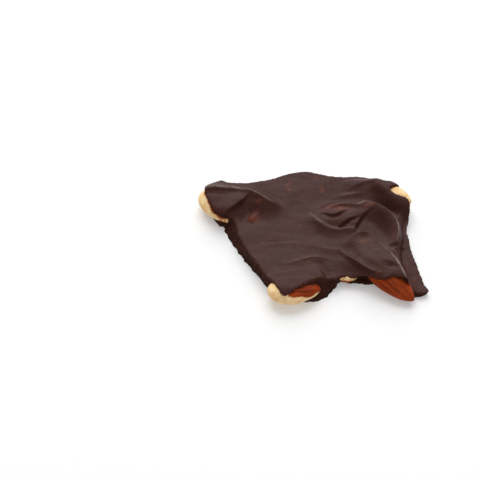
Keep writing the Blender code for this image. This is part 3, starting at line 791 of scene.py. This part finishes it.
def surface(tree, shader, colour, shine, relief, strength, depth_mm):
    """Gives a shader its colour, its shine and the fine relief that catches the light."""
    tree.links.new(colour, shader.inputs["Base Color"])
    shader.inputs["IOR"].default_value = FAT_IOR
    shader.inputs["Specular IOR Level"].default_value = shine
    bump = node(tree, "ShaderNodeBump", {"Strength": strength, "Distance": depth_mm * MM}, {"Height": relief})
    tree.links.new(bump.outputs["Normal"], shader.inputs["Normal"])


def poured_chocolate():
    """Tempered dark chocolate as it set: satin, faintly streaked, smoother along its ridges, and paler along
    its ridges and arris with wear and a painted highlight.
    """
    material, tree, shader = new_material("dark_chocolate_poured")
    coords = node(tree, "ShaderNodeTexCoord", {}).outputs["Object"]
    ridge, warm, arris = (node(tree, "ShaderNodeAttribute", {"attribute_name": name}).outputs["Fac"]
                          for name in ("ridge", "warm", "arris"))
    # The grain is drawn at half a millimetre, coarser than it is, so that it shows.
    mottle, cloud, grain = (
        node(tree, "ShaderNodeTexNoise", marks_across(size, detail), {"Vector": coords}).outputs["Fac"]
        for size, detail in ((9.0, 4.0), (2.2, 4.0), (0.5, 2.0)))
    # The streaks run along X, about six times longer than they are wide.
    drawn = node(tree, "ShaderNodeMapping", {"Scale": (0.16, 1.0, 1.0)}, {"Vector": coords}).outputs["Vector"]
    streak = node(tree, "ShaderNodeTexNoise", marks_across(2.0, 3.0), {"Vector": drawn}).outputs["Fac"]
    colour = laid_over(tree, POURED_TONES[0], POURED_TONES[1], mottle, (0.35, 0.65))
    colour = laid_over(tree, colour, POURED_TONES[2], streak, (0.5, 0.75), most=0.7)
    colour = laid_over(tree, colour, POURED_TONES[3], grain, (0.4, 0.7), most=0.75)
    # Warm paler patches: smears of cocoa, and on the nub and a fold a painted reddish highlight.
    colour = laid_over(tree, colour, SMEAR_AND_HIGHLIGHT_TONE, cloud, (0.35, 0.6), where=warm)
    # Along the ridges a pale grey tone: scuffing and a painted highlight.
    colour = laid_over(tree, colour, RIDGE_SCUFF_AND_HIGHLIGHT_TONE, cloud, (0.3, 0.6), most=0.9, least=0.2, where=ridge)
    # Near the arris a paler reddish tone: wear and a painted highlight.
    wear_and_highlight = node(tree, "ShaderNodeMapRange", between(0.1, 0.8), {"Value": arris}).outputs["Result"]
    colour = laid_over(tree, colour, ARRIS_WEAR_AND_HIGHLIGHT_TONE, grain, (0.4, 0.6), most=0.8, least=0.1, where=wear_and_highlight)
    satin = node(tree, "ShaderNodeMapRange", between(0.3, 0.7, 0.38, 0.52), {"Value": streak})
    sheen = node(tree, "ShaderNodeMath", {"operation": "MULTIPLY_ADD", 1: -0.12},
                 {0: ridge, 2: satin.outputs["Result"]})
    tree.links.new(sheen.outputs[0], shader.inputs["Roughness"])
    relief = node(tree, "ShaderNodeMath", {"operation": "MULTIPLY_ADD", 1: 0.6}, {0: grain, 2: streak})
    surface(tree, shader, colour, 0.095, relief.outputs[0], strength=0.4, depth_mm=0.1)
    return material


def snapped_chocolate():
    """The same chocolate where it was snapped: dull, granular and darker, with paler flecks."""
    material, tree, shader = new_material("dark_chocolate_snapped")
    coords = node(tree, "ShaderNodeTexCoord", {}).outputs["Object"]
    arris = node(tree, "ShaderNodeAttribute", {"attribute_name": "arris"}).outputs["Fac"]
    # The grain is drawn at half a millimetre, coarser than it is, so that it shows.
    cloud, grain = (
        node(tree, "ShaderNodeTexNoise", marks_across(size, detail), {"Vector": coords}).outputs["Fac"]
        for size, detail in ((2.0, 4.0), (0.5, 3.0)))
    cells = node(tree, "ShaderNodeTexVoronoi", {"Scale": FLECKS_PER_MM / MM}, {"Vector": coords})
    fleck = node(tree, "ShaderNodeMapRange", between(0.22, 0.12), {"Value": cells.outputs["Distance"]})
    colour = laid_over(tree, BROKEN_TONES[0], BROKEN_TONES[1], cloud, (0.35, 0.65))
    colour = laid_over(tree, colour, FLECK_TONE, cloud, (0.45, 0.55), where=fleck.outputs["Result"])
    # Just under the arris the same paler tone: wear and a painted highlight.
    colour = laid_over(tree, colour, ARRIS_WEAR_AND_HIGHLIGHT_TONE, grain, (0.42, 0.62), most=0.85, least=0.1, where=arris)
    shader.inputs["Roughness"].default_value = 0.8
    relief = node(tree, "ShaderNodeMath", {"operation": "ADD"}, {0: grain, 1: cloud})
    surface(tree, shader, colour, 0.1, relief.outputs[0], strength=0.7, depth_mm=0.2)
    return material


def roasted_almond():
    """Dry-roasted almond: a thin striped red-brown skin, and waxy cream flesh where it has come away."""
    material, tree, shader = new_material("roasted_almond_skin_and_flesh")
    coords = node(tree, "ShaderNodeTexCoord", {}).outputs["Object"]
    grain = node(tree, "ShaderNodeAttribute", {"attribute_name": "grain"}).outputs["Vector"]
    bare = node(tree, "ShaderNodeAttribute", {"attribute_name": "bare"}).outputs["Fac"]
    # The stripes follow the nut from end to end, about 11 mm long and 1 to 2 mm wide.
    drawn = node(tree, "ShaderNodeMapping", {"Scale": (0.09, 0.9, 0.0)}, {"Vector": grain}).outputs["Vector"]
    stripe = node(tree, "ShaderNodeTexNoise", {"Scale": 1.0, "Detail": 4.0, "Roughness": 0.65},
                  {"Vector": drawn}).outputs["Fac"]
    # The dust of the skin is drawn at half a millimetre, coarser than it is, so that it shows.
    dust, blotch = (
        node(tree, "ShaderNodeTexNoise", marks_across(size, detail), {"Vector": coords}).outputs["Fac"]
        for size, detail in ((0.5, 3.0), (2.6, 4.0)))
    skin = laid_over(tree, SKIN_TONES[0], SKIN_TONES[1], stripe, (0.4, 0.62))
    skin = laid_over(tree, skin, SKIN_TONES[2], dust, (0.55, 0.75), most=0.5)
    flesh = laid_over(tree, FLESH_TONES[0], FLESH_TONES[1], blotch, (0.42, 0.62))
    flesh = laid_over(tree, flesh, FLESH_TONES[2], dust, (0.62, 0.76), most=0.6)
    flesh = laid_over(tree, flesh, FLESH_TONES[2], bare, (0.75, 0.45), most=0.8)
    colour = laid_over(tree, skin, flesh, bare, (0.2, 0.4))
    shader.inputs["Roughness"].default_value = 0.55
    relief = node(tree, "ShaderNodeMath", {"operation": "ADD"}, {0: stripe, 1: dust})
    surface(tree, shader, colour, 0.12, relief.outputs[0], strength=0.5, depth_mm=0.15)
    return material


def toasted_crumb():
    """Crumbs of toasted nut, dull and tan."""
    material, tree, shader = new_material("toasted_nut_crumb")
    coords = node(tree, "ShaderNodeTexCoord", {}).outputs["Object"]
    speck = node(tree, "ShaderNodeTexNoise", marks_across(1.0, 3.0, 0.5), {"Vector": coords}).outputs["Fac"]
    tan = laid_over(tree, CRUMB_TONES[0], CRUMB_TONES[1], speck, (0.4, 0.6))
    tree.links.new(tan, shader.inputs["Base Color"])
    shader.inputs["Roughness"].default_value = 0.7
    shader.inputs["Specular IOR Level"].default_value = 0.1
    return material


def white_sweep():
    """A matte white floor just under the piece, glowing a little of its own so that the shadows on it stay
    pale.
    """
    sweep, _, shader = new_material("matte_white_sweep")
    shader.inputs["Base Color"].default_value = linear(SWEEP_TONE)
    shader.inputs["Roughness"].default_value = 0.9
    shader.inputs["Specular IOR Level"].default_value = 0.0
    shader.inputs["Emission Color"].default_value = linear(WHITE)
    shader.inputs["Emission Strength"].default_value = SWEEP_GLOW
    bm = bmesh.new()
    place = Matrix.Translation((0, 0, -SWEEP_GAP * MM))
    bmesh.ops.create_grid(bm, x_segments=1, y_segments=1, size=SWEEP_HALF_WIDTH, matrix=place)
    mesh = bpy.data.meshes.new("floor")
    bm.to_mesh(mesh)
    bm.free()
    mesh.materials.append(sweep)
    floor = bpy.data.objects.new("floor", mesh)
    bpy.context.scene.collection.objects.link(floor)


def studio_light():
    """A pale surround, with soft light from behind, from above and a little from the front."""
    world = bpy.data.worlds.new("studio_surround")
    world.use_nodes = True
    background = world.node_tree.nodes["Background"]
    background.inputs["Color"].default_value = linear(WHITE)
    background.inputs["Strength"].default_value = SURROUND
    bpy.context.scene.world = world
    for name, place, size, power in SOFTBOXES:
        light = bpy.data.lights.new(name, "AREA")
        light.shape = "SQUARE"
        light.size = size
        light.energy = power
        lamp = bpy.data.objects.new(name, light)
        lamp.location = place
        lamp.rotation_euler = (-Vector(place)).to_track_quat("-Z", "Y").to_euler()
        bpy.context.scene.collection.objects.link(lamp)


def camera_view():
    """The camera, looking down at the piece from the front."""
    lens = bpy.data.cameras.new("camera")
    lens.lens = LENS_LENGTH
    lens.sensor_width = SENSOR_WIDTH
    lens.clip_start = NEAREST_SEEN
    camera = bpy.data.objects.new("camera", lens)
    target = Vector([(place + shift) * MM for place, shift in zip(CAMERA_TARGET, FRAME_SHIFT)] + [0.0])
    tilt = math.radians(CAMERA_TILT)
    camera.location = target + Vector((0, -math.sin(tilt), math.cos(tilt))) * CAMERA_DISTANCE * MM
    camera.rotation_euler = (tilt, 0, 0)
    bpy.context.scene.collection.objects.link(camera)
    bpy.context.scene.camera = camera
    bpy.context.scene.view_settings.view_transform = "Standard"


def main():
    """Sets up the studio, then makes the slab, its crumbs and its nuts."""
    noise.seed_set(NOISE_SEED)
    white_sweep()
    studio_light()
    camera_view()
    slab, outline = snapped_slab()
    to_metres(slab)
    chocolate = (poured_chocolate(), snapped_chocolate())
    add_piece("chocolate_slab", slab, chocolate, "dark_chocolate", "chocolate")
    crumbs = loose_crumbs(outline)
    to_metres(crumbs)
    add_piece("toasted_crumbs", crumbs, (toasted_crumb(),), "almond_flesh")
    nut = roasted_almond()
    for name, almond in ALMONDS.items():
        bm = whole_almond(almond)
        peel(bm, name, outline)
        to_metres(bm)
        slot_name = "almond_skin" if name in SKINNED_NUTS else "almond_flesh"
        add_piece("roasted_" + name, bm, (nut,), slot_name, name)


main()
